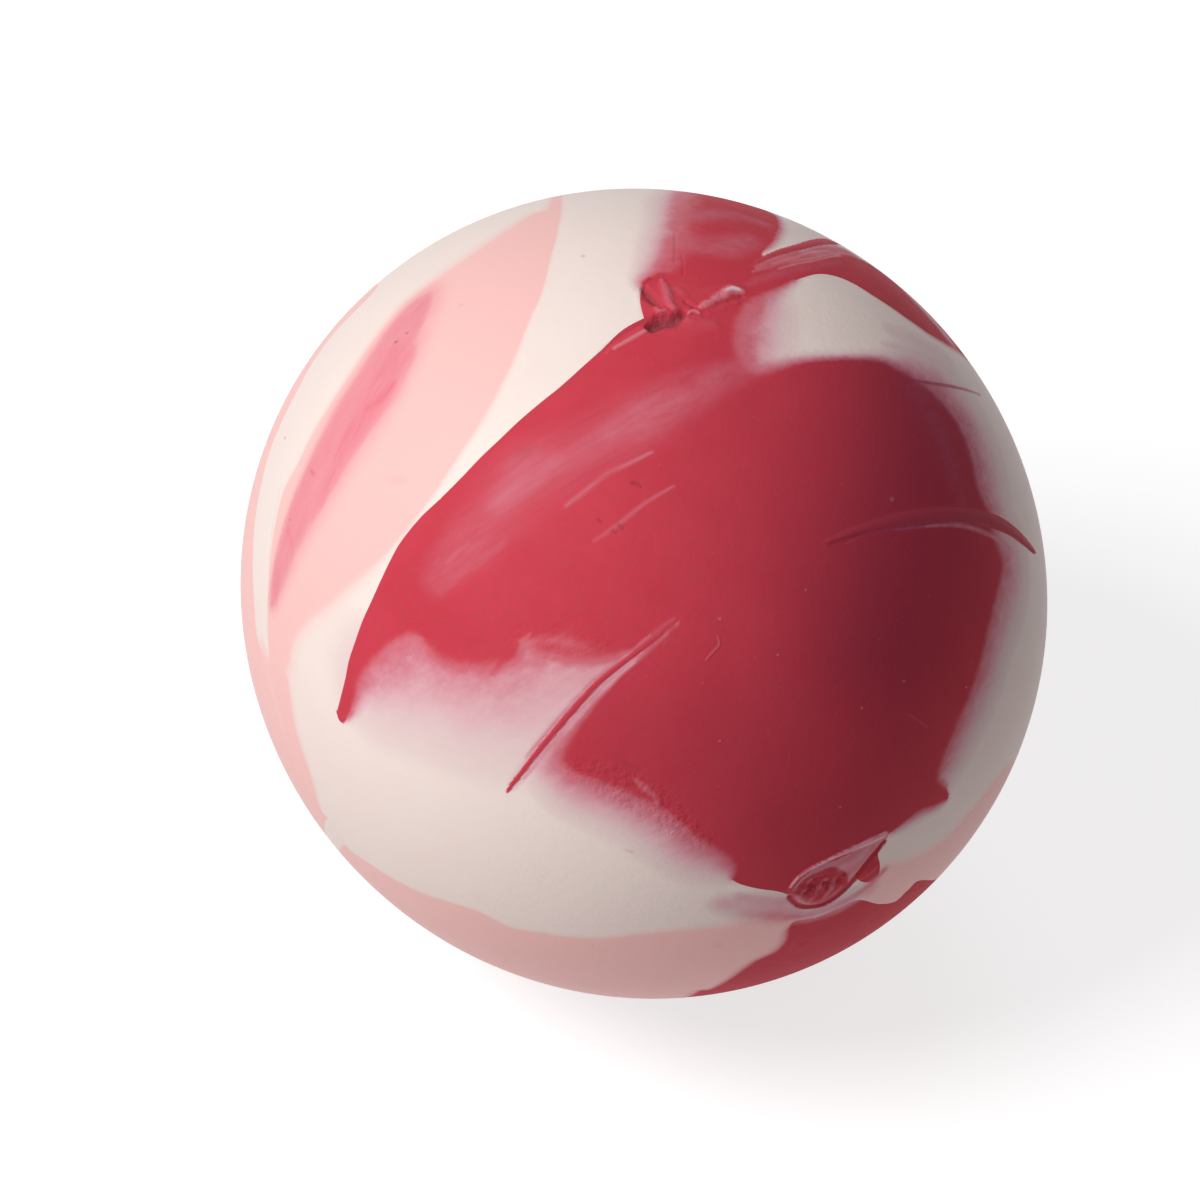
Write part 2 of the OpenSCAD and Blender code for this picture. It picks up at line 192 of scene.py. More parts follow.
def nearest(curve, at, closed=True, reach=0.12):
    """Distance in radii to a curve from each direction, its foot there, and which side it is."""
    way = curve[0]
    best, inward = np.full(len(at), 9.0), np.full(len(at), -1.0)
    feet, found = at.copy(), np.zeros(len(at), int)
    # Only places in the round part of the ball that holds the curve, or close to it, are looked at
    middle = unit(way.mean(axis=0))
    rim = math.acos((way @ middle).min())
    rows = np.flatnonzero(at @ middle > math.cos(min(rim + reach, math.pi)))
    for part in np.array_split(rows, len(rows) // 20000 + 1):
        here_at = at[part]
        first = np.argmax(here_at @ way.T, axis=1)
        least, foot, side = np.full(len(part), 9.0), here_at.copy(), np.zeros_like(here_at)
        for i in (first - 1, first):
            j = i + 1
            if closed:
                i, j = i % len(way), j % len(way)
            else:
                i, j = np.clip(i, 0, len(way) - 1), np.clip(j, 0, len(way) - 1)
            run = way[j] - way[i]
            share = np.sum((here_at - way[i]) * run, axis=1) / np.maximum(np.sum(run * run, axis=1),
                                                                          1e-18)
            here = way[i] + np.clip(share, 0, 1)[:, None] * run
            far = np.linalg.norm(here_at - here, axis=1)
            side += unit(np.cross(way[first], run) + 1e-15)
            foot[far < least] = here[far < least]
            least = np.minimum(least, far)
        best[part], feet[part], found[part] = least, foot, first
        inward[part] = np.sum((here_at - foot) * side, axis=1)
    inward[at @ middle < math.cos(rim)] = -1
    return best, feet, inward, found


def anticlockwise(way, width):
    """A closed curve, turned to run anticlockwise as seen from outside the ball."""
    middle = unit(way.mean(axis=0))
    if np.sum(np.cross(way, np.roll(way, -1, axis=0)) @ middle) < 0:
        way, width = way[::-1].copy(), width[::-1].copy()
    return way, width


def outline(places):
    return anticlockwise(*trace(places))


outlines, undersides, made = {}, {}, []
# How much of each colour the portions hold
covers = {"film": {}, "pink": {}, "rose": {}}
# Marks lie on the skin, whatever portion is under them. It is fine enough for the ready ones.
marks, ready = [], 0
mm = 0.001
full_rough = 0.0001


def mark(places, lift=0.0, rough=0.0, level=False, **paint):
    """A mark along a line of places, where the third number is its half width in pixels.

    It lifts and roughens the skin by millimetres, and brings each colour field to a value at some
    strength. A level one is the same across most of its width."""
    if rough:
        paint["rough"] = (rough * mm / full_rough, 1)
    line = trace(places, closed=False, step=mark_step)
    marks.append((line, lift * mm, rough * mm, 1.8 if level else 1.0, paint))


# Triangles along an outline, of a common portion and of a small one
common_step, small_step = 0.0002, 0.0001
# Away from an outline or a mark they grow by this share of the distance, and none is finer
# than the last of these
outline_growth, mark_growth, finest = 0.5, 0.6, 0.00006
# A corner this near to an outline, as a share of its shortest edge, moves onto it
snap = 0.28


def claim(name, edge, fine):
    """Cuts the free skin along an outline and gives the portion the triangles inside it."""
    global ready
    number = len(outlines)
    outlines[name] = edge
    fresh, ready = [m[0] for m in marks[ready:]], len(marks)

    def wanted(at):
        near = nearest(edge, at)[0] * ball_r
        size = np.maximum(fine, near * outline_growth)
        for line in fresh:
            half = np.median(line[1]) * ball_r
            least = max(0.5 * half, finest)
            if least < face_step:
                near = nearest(line, at, closed=False)[0] * ball_r - half
                size = np.minimum(size, np.maximum(least, near * mark_growth))
        return size

    skin.refine(wanted)
    ends, sides, held = skin.edges()
    off = np.full(len(skin.at), -1.0)
    free = np.unique(skin.tris[skin.claim < 0])
    far, foot, side, _ = nearest(edge, skin.at[free])
    off[free] = far * np.where(side > 0, 1, -1)
    # Corners close to the outline move onto it, apart from those of a claimed piece
    short = np.full(len(skin.at), 9.0)
    length = np.linalg.norm(skin.at[ends[:, 0]] - skin.at[ends[:, 1]], axis=1)
    np.minimum.at(short, ends.ravel(), np.repeat(length, 2))
    fixed = np.zeros(len(skin.at), bool)
    fixed[ends[held].ravel()] = True
    close = np.abs(off[free]) < snap * short[free]
    move = close & ~fixed[free]
    skin.at[free[move]] = unit(foot[move])
    off[free[close]] = 0
    # Where the outline crosses the border of a claimed piece, it takes the nearer corner there
    for a, b in ends[held]:
        if off[a] * off[b] < 0:
            off[a if abs(off[a]) < abs(off[b]) else b] = 0
    cut = ~held & (off[ends[:, 0]] * off[ends[:, 1]] < 0)
    a, b = ends[cut].T
    share = (off[a] / (off[a] - off[b]))[:, None]
    points = skin.at[a] * (1 - share) + skin.at[b] * share
    skin.split(sides, cut, points)
    off = np.concatenate([off, np.zeros(cut.sum())])
    corner = off[skin.tris]
    inside = (skin.claim < 0) & (corner.min(axis=1) >= 0) & (corner.max(axis=1) > 0)
    # Loose scraps stay free
    label = np.arange(len(skin.at))
    tris = skin.tris[inside]
    while True:
        low = label[tris].min(axis=1)
        before = label.copy()
        for k in range(3):
            np.minimum.at(label, tris[:, k], low)
        if (label == before).all():
            break
    group = label[tris[:, 0]]
    names, sizes = np.unique(group, return_counts=True)
    rows = np.flatnonzero(inside)
    skin.claim[rows[group == names[np.argmax(sizes)]]] = number
    return number


def border(tris):
    """The edges that only one of these triangles has, each in that triangle's own direction."""
    ends = tris[:, [[0, 1], [1, 2], [2, 0]]].reshape(-1, 2)
    size = tris.max() + 1
    own, back = ends[:, 0] * size + ends[:, 1], ends[:, 1] * size + ends[:, 0]
    return ends[~np.isin(own, back)]


def underside(number, at):
    """How far a portion's round underside is from the ball's centre along each direction."""
    depth, lean = undersides[number]
    along = at @ lean
    return along + np.sqrt((ball_r - depth) ** 2 - lean @ lean + along * along)


# All the colours are one soft vulcanised rubber with different pigments, so they share one build
# of material. Where crimson lies thin it shows lilac and then cream, and it is streaked the way
# that it flowed. The mould's surface gives it a satin grain, and dust and scuffs lie on it.
# The material also carries painted highlights on ridges and creases, and painted shade in hollows,
# creases and on the side away from the lamp
rubbers = {}


def add_node(tree, kind, **settings):
    """A shader node; its inputs are numbers and colours to set, and sockets to link."""
    made_node = tree.nodes.new("ShaderNode" + kind)
    inputs = settings.pop("inputs", {})
    for name, value in settings.items():
        setattr(made_node, name, value)
    for name, value in inputs.items():
        if isinstance(value, bpy.types.NodeSocket):
            tree.links.new(value, made_node.inputs[name])
        else:
            made_node.inputs[name].default_value = value
    return made_node


# How wide the streaks, clouds, mottle and dust in the rubber are
streak_w, fine_streak_w, crumple_w = 0.0011, 0.00035, 0.0004
cloud_w, mottle_w, dust_w = 0.0035, 0.0006, 0.00022
# A streak is about eight times as long as it is wide
drawn_share = 0.12


def rubber(slot, roughness, gloss, crumbs, flow=(0.86, 0.51)):
    """Marbled rubber as one slot's own material, streaked along flow: to the right and up.

    Its roughness and gloss are those where no crimson covers it."""
    flow_along = flow[0] * face_right + flow[1] * face_up
    flow_across = flow[1] * face_right - flow[0] * face_up
    material = bpy.data.materials.new(slot)
    material.use_nodes = True
    tree = material.node_tree
    tree.nodes.clear()

    def node(kind, **settings):
        return add_node(tree, kind, **settings)

    def field(name):
        return node("Attribute", attribute_name=name).outputs["Fac"]

    def sum_of(a, b, kind="ADD", clamp=False):
        return node("Math", operation=kind, use_clamp=clamp, inputs={0: a, 1: b}).outputs[0]

    def times(a, b, clamp=False):
        return sum_of(a, b, "MULTIPLY", clamp)

    def swing(value, amount):
        return times(sum_of(value, -0.5), amount)

    def rise(value, low, high):
        return node("MapRange", interpolation_type="SMOOTHSTEP",
                    inputs={0: value, 1: low, 2: high}).outputs[0]

    def mixed(share, a, b, way="MIX"):
        a, b = [(*c, 1) if isinstance(c, tuple) else c for c in (a, b)]
        return node("Mix", data_type="RGBA", blend_type=way,
                    inputs={0: share, 6: a, 7: b}).outputs[2]

    def measured(axis):
        return node("VectorMath", operation="DOT_PRODUCT", inputs={0: place, 1: axis}).outputs[1]

    def cloudy(where, size, detail=3.0, rough=0.55):
        return node("TexNoise", inputs={"Vector": where, "Scale": 1 / size, "Detail": detail,
                                        "Roughness": rough}).outputs["Fac"]

    place = node("TexCoord").outputs["Object"]
    drawn = node("CombineXYZ", inputs={0: times(measured(flow_along), drawn_share),
                                       1: measured(flow_across), 2: measured(face_out)}).outputs[0]
    streaks = cloudy(drawn, streak_w)
    fine_streaks = cloudy(drawn, fine_streak_w)
    clouds = cloudy(place, cloud_w)
    mottle = cloudy(place, mottle_w, 4.0, 0.6)
    dust = cloudy(place, dust_w, 2.0, 0.5)
    streaked = sum_of(swing(streaks, 0.6), swing(fine_streaks, 0.4))

    # Where crimson is neither absent nor thick, it is stirred most
    film = field("film")
    thick = times(times(film, film), sum_of(1.0, film, "SUBTRACT"))
    stir = sum_of(sum_of(swing(streaks, 2.0), swing(fine_streaks, 1.3)), swing(mottle, 1.0))
    film = sum_of(film, times(stir, thick), clamp=True)
    pink = sum_of(field("pink"), swing(clouds, 0.1), clamp=True)
    rose = sum_of(field("rose"), times(times(streaked, 1.3), field("rose")))

    base = mixed(clouds, (0.815, 0.69, 0.63), (0.83, 0.73, 0.675))
    base = mixed(rise(pink, 0.05, 0.95), base, (0.86, 0.51, 0.48))
    base = mixed(rise(rose, 0.0, 0.95), base, (0.75, 0.275, 0.31))
    base = mixed(rise(rose, 0.8, 1.6), base, (0.72, 0.18, 0.22))
    # From the thinnest film of crimson to a full sheet, it tints what lies under it
    tint = node("ValToRGB", inputs={0: film})
    tones = tint.color_ramp.elements
    for thick, *rgb in [(0.05, 0.94, 0.89, 0.91), (0.16, 0.88, 0.76, 0.82),
                        (0.26, 0.84, 0.56, 0.66), (0.415, 0.735, 0.28, 0.377),
                        (0.50, 0.713, 0.20, 0.28), (0.82, 0.698, 0.14, 0.194)]:
        tones.new(thick).color = (*rgb, 1)
    tones[0].color, tones[-1].color = (1, 1, 1, 1), (0.67, 0.079, 0.124, 1)
    base = mixed(1.0, base, tint.outputs[0], "MULTIPLY")
    red = mixed(rise(clouds, 0.35, 0.65), (0.53, 0.041, 0.065), (0.555, 0.047, 0.072))
    red = mixed(rise(mottle, 0.45, 0.75), red, (0.50, 0.050, 0.068))
    # Painted shade: crimson and the haze round it turn darker toward the right and the bottom, the
    # side away from the lamp
    red = mixed(field("deep"), red, (0.30, 0.027, 0.050))
    base = mixed(times(rise(film, 0.08, 0.75), field("deep")), base, (0.27, 0.034, 0.085))
    base = mixed(rise(film, 0.62, 0.98), base, red)

    # Dust rubbed into the surface, with painted highlights on ridges and bumps, and crumbs on it
    worn = times(field("wear"), sum_of(times(streaked, 2.2), 0.75), clamp=True)
    scuffed = mixed(rise(field("wear"), 0.9, 1.6), (0.575, 0.14, 0.185), (0.70, 0.33, 0.37))
    base = mixed(worn, base, scuffed)
    base = mixed(times(rise(dust, 0.72, 0.80), crumbs), base, (0.68, 0.36, 0.38))
    # Pale crumbs, and painted highlights on creases
    base = mixed(rise(field("pale"), 0.1, 0.9), base, (0.76, 0.50, 0.50))
    # Painted shade in hollows, pits, creases and grooves, and dark specks
    base = mixed(field("dark"), base, (0.13, 0.04, 0.05))

    # Crimson is duller than the pale colours
    cover = rise(film, 0.3, 1.0)
    satin = sum_of(sum_of(times(cover, 0.12), roughness), swing(mottle, 0.16))
    satin = sum_of(satin, times(worn, 0.12))
    shine = sum_of(gloss, times(cover, 0.17), "SUBTRACT")
    drag = times(swing(fine_streaks, 1.6), sum_of(field("wear"), 0.15))
    torn = times(swing(cloudy(place, crumple_w, 3.0, 0.6), 9.0), field("rough"))
    grain = sum_of(swing(dust, 0.5), swing(mottle, 1.0))
    bumps = sum_of(sum_of(grain, drag), torn)
    skin_bump = node("Bump", inputs={"Height": bumps, "Strength": 0.5, "Distance": 0.00004})
    surface = node("BsdfPrincipled", inputs={
        "Base Color": base, "Roughness": satin, "Normal": skin_bump.outputs[0],
        "Specular IOR Level": shine})
    node("OutputMaterial", inputs={0: surface.outputs[0]})
    rubbers[slot] = material


def build(name, node, slot, faces, at, reach, rows, outer):
    """Piece of faces whose first ones, outer in number, are moulded skin."""
    mesh = bpy.data.meshes.new(name)
    mesh.from_pydata(at * reach[:, None], [], faces)
    mesh.update()
    piece = bpy.data.objects.new(name, mesh)
    bpy.context.collection.objects.link(piece)
    mesh.polygons.foreach_set("use_smooth", np.ones(len(faces), bool))
    mesh.materials.append(rubbers[slot])
    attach(piece, "root")
    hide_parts(node)
    made.append((mesh, rows, reach, outer))


# A portion that thins out to one side has its underside shifted that way, by this much of its depth
thin_lean = 0.55


def leaf(name, node, slot, edge, depth, thin=None, fine=common_step, **cover):
    """Closed piece under an outline: moulded skin outside, radial walls and a round underside."""
    for field, share in cover.items():
        covers[field][name] = share
    number = claim(name, edge, fine)
    lean = thin_lean * depth * toward(*thin) if thin else np.zeros(3)
    undersides[number] = (depth, lean)
    tris = skin.tris[skin.claim == number]
    used, local = np.unique(tris, return_inverse=True)
    tris = local.reshape(-1, 3)
    n = len(used)
    edges = np.searchsorted(used, border(used[tris]))
    at = skin.at[used]
    walls = np.stack([edges[:, 1], edges[:, 0], edges[:, 0] + n, edges[:, 1] + n], axis=1)
    faces = tris.tolist() + (tris[:, ::-1] + n).tolist() + walls.tolist()
    reach = np.concatenate([np.full(n, ball_r), underside(number, at)])
    build(name, node, slot, faces, np.tile(at, (2, 1)), reach, used, len(tris))


def thread(places):
    """Outline of a thin fold along a middle line, where the third number is its half width."""
    way, half = trace(places, closed=False)
    side = unit(np.cross(way, np.gradient(way, axis=0))) * half[:, None]
    ring = unit(np.concatenate([way - side, (way + side)[::-1]]))
    return anticlockwise(ring, np.full(len(ring), plain_run * px))


gate_depth, fold_depth = 0.0024, 0.0009
# The stub bulges a little, and its surface is crumpled where the rubber tore
mark([(652, 300, 20), (690, 308, 26), (728, 298, 18)], 0.08, rough=0.04, level=True)
mark([(645, 304, 8), (649, 288, 8), (662, 282, 7)], 0.03, rough=0.08, level=True)
mark([(650, 322, 16), (668, 322, 16), (684, 316, 12)], rough=0.08, level=True)
# Two hollows where rubber came away, darkened with painted shade, with a bright curled ridge
# between them whose brightness is a painted highlight
mark([(645, 289, 6), (649, 297, 10), (656, 303, 7)], -0.26, dark=(0.50, 1))
mark([(651, 327, 8), (661, 321, 12), (673, 320, 11), (683, 314, 6)], -0.46, dark=(0.66, 1))
mark([(653, 330, 5), (662, 326, 4)], -0.1, dark=(0.85, 1))
mark([(662, 281, 4), (667, 292, 8), (669, 303, 7), (675, 310, 4)], 0.15, wear=(0.9, 0.8))
# Small lumps on the stub, paler with painted highlights, and a small hollow darkened with painted
# shade
mark([(656, 309, 3), (660, 312, 4), (666, 311, 3)], 0.12, wear=(1.2, 0.7))
mark([(641, 284, 3), (648, 279, 4)], 0.10)
mark([(676, 288, 5), (684, 294, 5)], 0.07, wear=(0.5, 0.7))
mark([(683, 319, 9), (698, 324, 14), (714, 325, 10)], 0.06, wear=(0.35, 0.7))
mark([(686, 303, 4), (694, 308, 4)], -0.10, dark=(0.25, 1))
# Pale blobs drawn out to the right: painted highlights on the torn rubber
mark([(714, 300, 7), (722, 296, 10), (727, 293, 7)], 0.06, rough=0.09, film=(0.48, 1))
mark([(726, 292, 8), (733, 290, 11), (740, 291, 8)], 0.08, film=(0.34, 1))
mark([(728, 291, 4), (733, 289, 6), (738, 290, 4)], 0.04, film=(0.14, 0.9))
mark([(701, 308, 5), (707, 304, 7), (711, 303, 5)], 0.06, film=(0.50, 1))
mark([(688, 314, 3), (694, 312, 4), (699, 314, 3)], 0.08, film=(0.45, 0.9))
# A groove below them, darkened with painted shade
mark([(714, 306, 5), (730, 302, 5), (742, 297, 4)], -0.07, dark=(0.10, 1))
gate_edge = outline([
    (640, 299, 4), (644, 286, 5), (660, 280, 7), (676, 281, 6), (700, 288, 8), (728, 283, 5),
    (743, 291, 4), (738, 301, 4), (718, 311, 8), (712, 329, 14), (690, 336, 8), (665, 336, 4),
    (649, 330, 3), (643, 315, 3)
])
rubber("deep_crimson_rubber", 0.46, 0.31, 0.1)
leaf("gate_stub", "gate_scar", "deep_crimson_rubber", gate_edge, gate_depth, fine=small_step,
     film=1)

# A pale tongue of rubber lies in the groove below the stub
mark([(608, 352, 3), (622, 343, 6), (640, 333, 6), (654, 327, 4)], 0.07)
mark([(614, 349, 3), (628, 341, 4), (642, 333, 4), (650, 328, 3)], 0.02, film=(0.30, 0.8))
# Painted shade darkens the groove along the tongue's upper edge
mark([(600, 352, 2), (618, 337, 3), (636, 326, 3), (648, 319, 3)], -0.06, dark=(0.16, 1))
tongue_edge = thread([(604, 354, 1), (616, 346, 4), (630, 338, 6), (644, 330, 6), (656, 324, 5)])
rubber("lilac_rubber", 0.46, 0.35, 0.1)
leaf("pale_tongue", "gate_tongue", "lilac_rubber", tongue_edge, fold_depth, fine=small_step,
     film=0.46)

# The almond knot
# Three streams met here last, and the rubber between them was pinched up. It is an almond of
# pale lips round a rough, sunken middle, with a bead of crimson pressed into its lower lip.

knot_depth = 0.002
# The streams around the knot are smeared with pink where they were dragged toward it
mark([(722, 904, 20), (756, 908, 34), (790, 909, 28)], film=(0.27, 0.9))
mark([(776, 915, 20), (804, 916, 20), (838, 906, 22), (866, 890, 22)], film=(0.28, 0.9))
mark([(738, 896, 8), (762, 900, 12), (786, 901, 12)], film=(0.36, 0.6))
mark([(742, 914, 8), (766, 915, 13), (792, 916, 12)], film=(0.34, 0.6))
mark([(788, 917, 7), (808, 915, 8), (830, 908, 9), (850, 898, 10), (868, 886, 9), (884, 870, 8)],
     0.03, film=(0.40, 1))
mark([(790, 912, 3), (812, 912, 3), (836, 902, 3.4), (856, 887, 3)], 0.03, film=(0.30, 0.6))
# Middle: rose and crimson, torn across by small ridges, whose paler colour is painted highlight
mark([(796, 893, 9), (808, 889, 17), (824, 884, 19), (840, 878, 12)], -0.10, rough=0.2,
     film=(0.93, 1))
mark([(799, 897, 3), (806, 888, 5), (812, 879, 3)], 0.06, film=(0.60, 1))
mark([(810, 900, 3), (818, 890, 5), (826, 879, 3)], 0.06, film=(0.56, 1))
mark([(824, 897, 3), (831, 889, 4.5), (837, 879, 3)], 0.05, film=(0.50, 1))
mark([(800, 890, 4), (812, 884, 4), (824, 875, 3)], film=(0.92, 0.9))
mark([(812, 896, 4), (826, 888, 4)], film=(0.9, 0.8))
# Lips: a thin pale rim above, which widens to the tip, with a painted highlight line along it, and
# a dark crimson crease below, deepened with painted shade
mark([(842, 868, 8), (856, 860, 9), (868, 850, 6)], film=(0.37, 0.8))
mark([(790, 887, 2), (798, 877, 2.6), (811, 868, 2.6), (829, 859, 3), (848, 850, 4),
      (866, 842, 4.5), (885, 833, 4)], 0.12, level=True, film=(0.36, 1))
mark([(812, 867, 2), (832, 858, 2.6), (850, 851, 3), (868, 844, 4), (884, 836, 3)], 0.02,
     film=(0.26, 0.9))
mark([(789, 897, 3), (798, 905, 4), (810, 907, 4), (827, 903, 4), (843, 892, 4), (856, 877, 5),
      (868, 862, 5), (884, 842, 4)], -0.12, level=True, film=(1, 1), dark=(0.12, 0.6))
mark([(793, 893, 3), (803, 900, 4), (815, 902, 4), (830, 896, 4), (842, 886, 3)], 0.03,
     film=(0.6, 0.9))
mark([(786, 891, 4), (792, 893, 4)], level=True, film=(0.9, 1))
# Bead
mark([(862, 876, 6), (868, 871, 9), (874, 866, 6)], 0.12, level=True, film=(1, 1))
bead_edge = outline([
    (857, 874), (864, 863), (872, 853), (883, 841), (878, 854), (880, 865), (878, 876), (870, 882),
    (860, 881)
])
rubber("crimson_rubber", 0.50, 0.25, 0.15)
leaf("knot_pip", "knot_bead", "crimson_rubber", bead_edge, knot_depth, fine=small_step, film=1)
eye_edge = outline([
    (797, 889, 4), (806, 878, 5), (820, 871, 5), (834, 866, 8), (846, 873, 8), (848, 884, 4),
    (836, 896, 3), (820, 903, 3), (806, 902, 3)
])
rubber("rose_rubber", 0.52, 0.25, 0.05, flow=(0.44, 0.90))
leaf("knot_middle", "knot_eye", "rose_rubber", eye_edge, knot_depth, fine=small_step, film=0.88)
lip_edge = outline([
    (787, 893), (794, 880), (805, 869), (819, 861), (836, 855), (852, 847), (866, 840), (888, 830),
    (886, 840), (873, 858), (861, 876), (848, 888), (832, 900), (812, 909), (797, 906)
])
leaf("knot_lips", "knot_lip", "lilac_rubber", lip_edge, knot_depth, fine=small_step, film=0.47)

# The fold line
# The two broad crimson sheets met along this line. At its left end the upper sheet's edge curled
# up to a thread, at its right end it is a raised ribbon, and a thin streak lies over the top.

fold_step = 0.00012
# A pink glow along the thread, and a paler line on each side of it
mark([(512, 786, 7), (533, 760, 13), (561, 726, 16), (598, 686, 14), (630, 660, 8)],
     film=(0.32, 0.8))
mark([(524, 779, 2), (545, 755, 3), (563, 733, 3.4), (583, 709, 3.4), (603, 688, 3.2),
      (623, 670, 3), (642, 656, 2)], -0.02, film=(0.36, 0.9))
mark([(526, 757, 2), (552, 726, 3), (590, 684, 3.4), (626, 655, 3.4), (650, 636, 3)],
     film=(0.44, 0.7))
mark([(508, 790, 2), (533, 758, 3), (561, 724, 3.4), (598, 683, 3.4), (634, 654, 3), (662, 633, 2)],
     0.04, level=True, film=(1, 1), dark=(0.06, 0.8))
mark([(640, 662, 5), (656, 648, 8), (676, 630, 7)], film=(0.95, 1))
mark([(630, 668, 3), (648, 652, 4), (668, 634, 3)], 0.02, wear=(1.0, 0.7))
mark([(640, 644, 3), (656, 632, 4), (674, 619, 3)], 0.02, wear=(0.9, 0.5))
wisp_edge = thread([
    (507, 792, 0.5), (520, 774, 2), (533, 758, 2.6), (546, 742, 2.8), (561, 723, 3),
    (579, 702, 3), (598, 683, 3), (615, 669, 3), (634, 654, 2.8), (652, 641, 2), (666, 630, 1)
])
leaf("fold_thread", "crimson_wisp", "deep_crimson_rubber", wisp_edge, fold_depth, fine=fold_step,
     film=1)

# The ribbon stands up dark between the sheets, with a pale line under its right half
mark([(912, 392, 26), (936, 424, 36), (950, 462, 36), (962, 504, 24)], film=(0.7, 0.5))
# The ribbon's crimson carries some painted shade
mark([(826, 543, 3), (848, 534, 5), (872, 526, 7), (902, 518, 9), (940, 514, 10), (975, 516, 9),
      (1000, 524, 8), (1034, 552, 3)], 0.05, level=True, film=(1, 1), deep=(0.6, 1))
mark([(846, 543, 1.6), (868, 533, 2.4), (900, 528, 3), (930, 526, 3.6)], -0.01, film=(0.72, 0.7))
mark([(896, 530, 2), (920, 527, 3), (940, 525, 3)], film=(0.60, 0.7))
mark([(926, 526, 2), (944, 525, 4), (964, 526, 5), (986, 533, 5), (1009, 547, 3)], -0.02,
     film=(0.40, 0.9))
mark([(984, 521, 4), (1006, 529, 5), (1020, 540, 4), (1034, 553, 2)], level=True, film=(1, 1))
ribbon_edge = thread([
    (824, 541, 1), (848, 532, 3.5), (874, 525, 5), (902, 519, 7), (940, 515, 8), (975, 517, 8),
    (1000, 524, 8), (1018, 535, 6), (1036, 553, 1)
])
leaf("fold_ribbon", "crimson_ribbon", "deep_crimson_rubber", ribbon_edge, fold_depth,
     fine=fold_step, film=1)

# The streak is a dark ridge with rose haze and pale lines on both sides
mark([(752, 272, 3), (776, 264, 8), (804, 256, 13), (836, 250, 18), (852, 254, 18)], film=(0.66, 1))
mark([(757, 262, 3), (781, 252, 5), (803, 246, 6), (832, 242, 8)], 0.05, level=True, film=(1, 1),
     dark=(0.08, 0.8))
mark([(772, 263, 3), (786, 258.5, 3), (800, 254.5, 3), (828, 250, 4)], -0.03, film=(0.38, 1))
mark([(778, 269, 2), (794, 264, 3), (814, 260, 3), (840, 255, 4)], -0.02, film=(0.44, 0.9))
mark([(756, 267, 5), (776, 259, 7), (798, 252.5, 6)], film=(0.62, 0.9))
streak_edge = thread([
    (748, 267, 1), (766, 258, 3), (786, 251, 4), (806, 245.5, 3.5), (829, 242, 3),
    (848, 250, 3, True), (862, 262, 1, True)
])
leaf("top_streak", "crimson_streak", "deep_crimson_rubber", streak_edge, fold_depth,
     fine=fold_step, film=1)

# The two broad crimson sheets
# Two lumps of crimson rubber were squeezed out over the cream, the upper one over the lower. Where
# a sheet was wiped thin, its edge runs out through rose and lilac to cream.

crimson_depth = 0.005
# The upper sheet dragged on the mould as it flowed, which left dusty scuffs along the flow, and the
# broad pale patches over its upper left are partly painted sheen
mark([(438, 575, 30), (470, 542, 44), (500, 508, 52), (528, 478, 56), (570, 458, 50),
      (610, 436, 46), (647, 416, 44), (686, 393, 36), (720, 378, 28), (748, 368, 20)],
     wear=(0.66, 0.9))
mark([(496, 504, 20), (526, 476, 34), (552, 462, 20)], wear=(1.1, 0.8))
mark([(612, 434, 18), (646, 417, 30), (680, 398, 18)], wear=(1.1, 0.8))
mark([(566, 506, 3), (584, 492, 5), (606, 474, 5), (628, 464, 4), (652, 452, 2.5)], 0.012,
     wear=(1.2, 0.9))
mark([(594, 541, 2.5), (608, 532, 4), (622, 522, 4), (646, 503, 3.4), (674, 486, 2)], 0.012,
     wear=(1.2, 0.8))
# A faint groove, darkened with painted shade
mark([(560, 491, 2), (584, 476, 3), (610, 462, 2)], -0.01, dark=(0.10, 1))
mark([(440, 592, 5), (470, 567, 8), (504, 543, 5)], wear=(0.7, 0.6))
mark([(446, 564, 2.5), (458, 552, 4), (470, 544, 2)], wear=(1.1, 0.6))
# Pits darkened with painted shade, and a dark blot in it
mark([(516, 456, 5), (523, 452, 8), (531, 449, 5)], -0.02, dark=(0.16, 1))
mark([(633, 483, 2.4), (638, 484, 3.4), (642, 487, 2)], -0.06, dark=(0.38, 1))
mark([(599, 520, 2.4), (602, 522, 2.8)], -0.04, dark=(0.28, 1))
mark([(619, 525, 2.4), (624, 528, 2.8)], -0.05, dark=(0.34, 1))
mark([(613, 531, 2.4), (617, 533, 2.4)], -0.04, dark=(0.25, 1))
# Short strokes that its ragged lower edge left, dragged up and to the right
mark([(503, 664, 4), (514, 650, 6), (530, 634, 3)], 0.015, film=(0.5, 0.5))
mark([(493, 672, 5), (506, 657, 7), (518, 644, 3)], film=(0.9, 0.6))
mark([(538, 662, 10), (556, 644, 12), (572, 628, 8)], rough=0.05, film=(0.62, 0.35))
mark([(540, 646, 14), (580, 652, 18), (612, 650, 14)], film=(0.95, 0.7))
mark([(424, 630, 14), (446, 648, 24), (480, 654, 26), (508, 650, 20)], film=(1, 0.85))
mark([(520, 640, 20), (560, 640, 26), (596, 644, 16)], rough=0.04, level=True)
